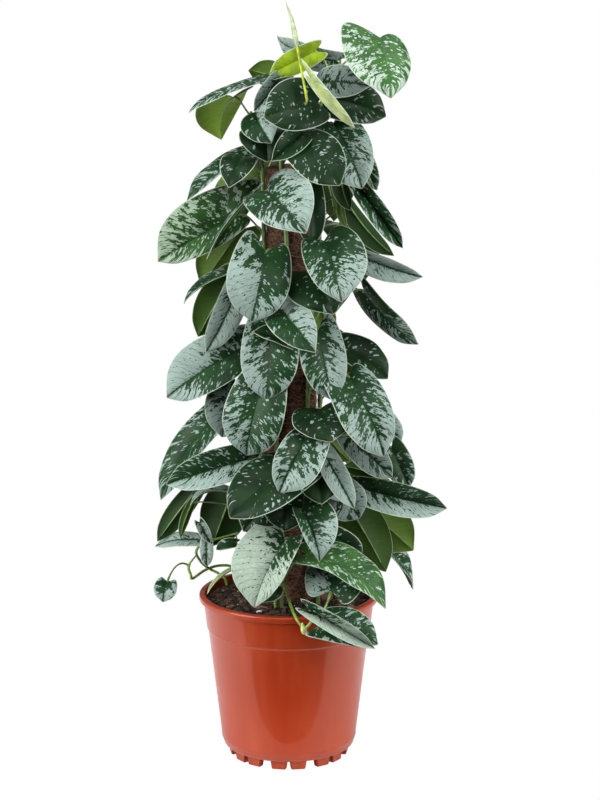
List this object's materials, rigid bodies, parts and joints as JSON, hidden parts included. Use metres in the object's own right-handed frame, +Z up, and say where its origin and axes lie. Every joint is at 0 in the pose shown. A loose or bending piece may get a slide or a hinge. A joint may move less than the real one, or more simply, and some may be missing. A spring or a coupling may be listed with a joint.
{
  "type": "potted scindapsus",
  "caption": "Climbing houseplant with heart-shaped silver-marked leaves on an upright coir pole, standing in a tapered plastic nursery pot with a rolled rim.",
  "frame": {"origin": "on the surface that the pot's feet stand on, under the middle of the whole plant's box", "axes": "+Z up along the pole, -Y towards the side of the plant that faces the viewer, +X to the viewer's right"},
  "size_m": [0.308, 0.2852, 0.7989],
  "materials": {
    "terracotta_plastic": "satin moulded plastic",
    "potting_mix": "dry crumbly potting mix",
    "coir_fibre": "matted coconut fibre",
    "stake_wood": "sawn, unfinished",
    "leaf_green": "waxy leaf, satin, with silver variegation"
  },
  "bodies": {
    "root": {"pot": "terracotta_plastic", "soil": "potting_mix", "pole_stake": "stake_wood", "pole_coir": "coir_fibre", "vine_front_left": "leaf_green", "vine_front_right": "leaf_green", "vine_left": "leaf_green", "vine_right": "leaf_green", "vine_back_right": "leaf_green", "vine_back_left": "leaf_green", "shoot_front": "leaf_green", "shoot_left": "leaf_green"}
  },
  "joints": []
}
